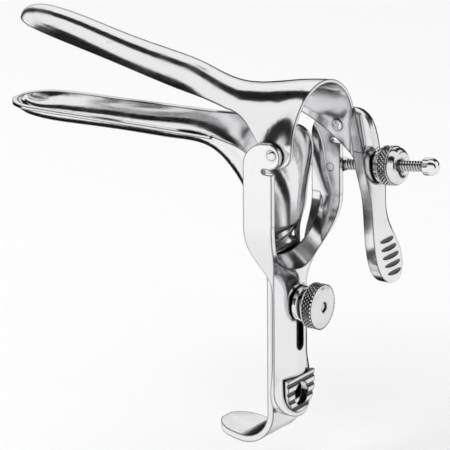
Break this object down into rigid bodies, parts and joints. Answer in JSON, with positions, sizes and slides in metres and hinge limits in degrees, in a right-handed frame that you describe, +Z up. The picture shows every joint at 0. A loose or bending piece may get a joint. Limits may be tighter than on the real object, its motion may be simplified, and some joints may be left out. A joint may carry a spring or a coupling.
{
  "type": "bivalve speculum",
  "caption": "Bivalve speculum with a hinged upper blade and thumb lever, a sliding lower blade, a yoke handle and screw adjustments for angle and spread.",
  "frame": {"origin": "middle of the hinge line between the two yoke arms, in the middle of the viewing mouth", "axes": "+X back to the user, with the blades pointing along -X; +Y to the thumb lever's side along the hinge line; +Z up, opposite to the handle"},
  "size_m": [0.1583, 0.0614, 0.1436],
  "materials": {
    "polished_steel": "mirror-polished stainless sheet",
    "rivet_steel": "turned and polished stainless",
    "screw_steel": "cut screw thread",
    "knurled_steel": "diamond-knurled rim"
  },
  "bodies": {
    "frame": {"yoke_frame": "polished_steel", "hinge_rivet_left": "rivet_steel", "hinge_rivet_right": "rivet_steel", "rod_pivot": "rivet_steel"},
    "upper": {"upper_blade": "polished_steel"},
    "lower": {"lower_blade": "polished_steel", "clamp_stud": "screw_steel"},
    "clamp_ring": {"clamp_washer": "rivet_steel"},
    "clamp_nut": {"clamp_knob": "knurled_steel"},
    "rod": {"angle_rod": "screw_steel", "rod_cap": "rivet_steel"},
    "collar": {"angle_collar": "rivet_steel"},
    "nut": {"angle_nut": "knurled_steel"}
  },
  "joints": [
    {"name": "blade_tilt", "type": "hinge", "parent": "frame", "child": "upper", "pos_m": [0, 0, 0], "axis": [0, 1, 0], "range_deg": [-14, 15]},
    {"name": "lower_blade_slide", "type": "slide", "parent": "frame", "child": "lower", "axis": [0, 0, -1], "range_m": [0, 0.013]},
    {"name": "clamp_release", "type": "slide", "parent": "lower", "child": "clamp_ring", "axis": [1, 0, 0], "range_m": [0, 0.00126]},
    {"name": "clamp_knob_turn", "type": "hinge", "parent": "clamp_ring", "child": "clamp_nut", "pos_m": [0, 0, -0.06], "axis": [1, 0, 0], "range_deg": [0, 360]},
    {"name": "rod_swivel", "type": "hinge", "parent": "frame", "child": "rod", "pos_m": [-0.004, 0.0253, -0.0164], "axis": [0, 1, 0], "range_deg": [-9.4, 10]},
    {"name": "angle_nut_travel", "type": "slide", "parent": "rod", "child": "collar", "axis": [0.991, 0, 0.134], "range_m": [-0.0043, 0.004]},
    {"name": "angle_nut_turn", "type": "hinge", "parent": "collar", "child": "nut", "pos_m": [0.01582, 0.0253, -0.01372], "axis": [0.991, 0, 0.134], "range_deg": [-1200, 1120]}
  ],
  "couplings": [
    {"joint": "clamp_release", "follows": "clamp_knob_turn", "m_per_rad": 0.00019894},
    {"joint": "rod_swivel", "follows": "blade_tilt", "ratio": 0.655},
    {"joint": "angle_nut_travel", "follows": "blade_tilt", "m_per_rad": -0.01565},
    {"joint": "angle_nut_turn", "follows": "blade_tilt", "ratio": -78.665}
  ]
}
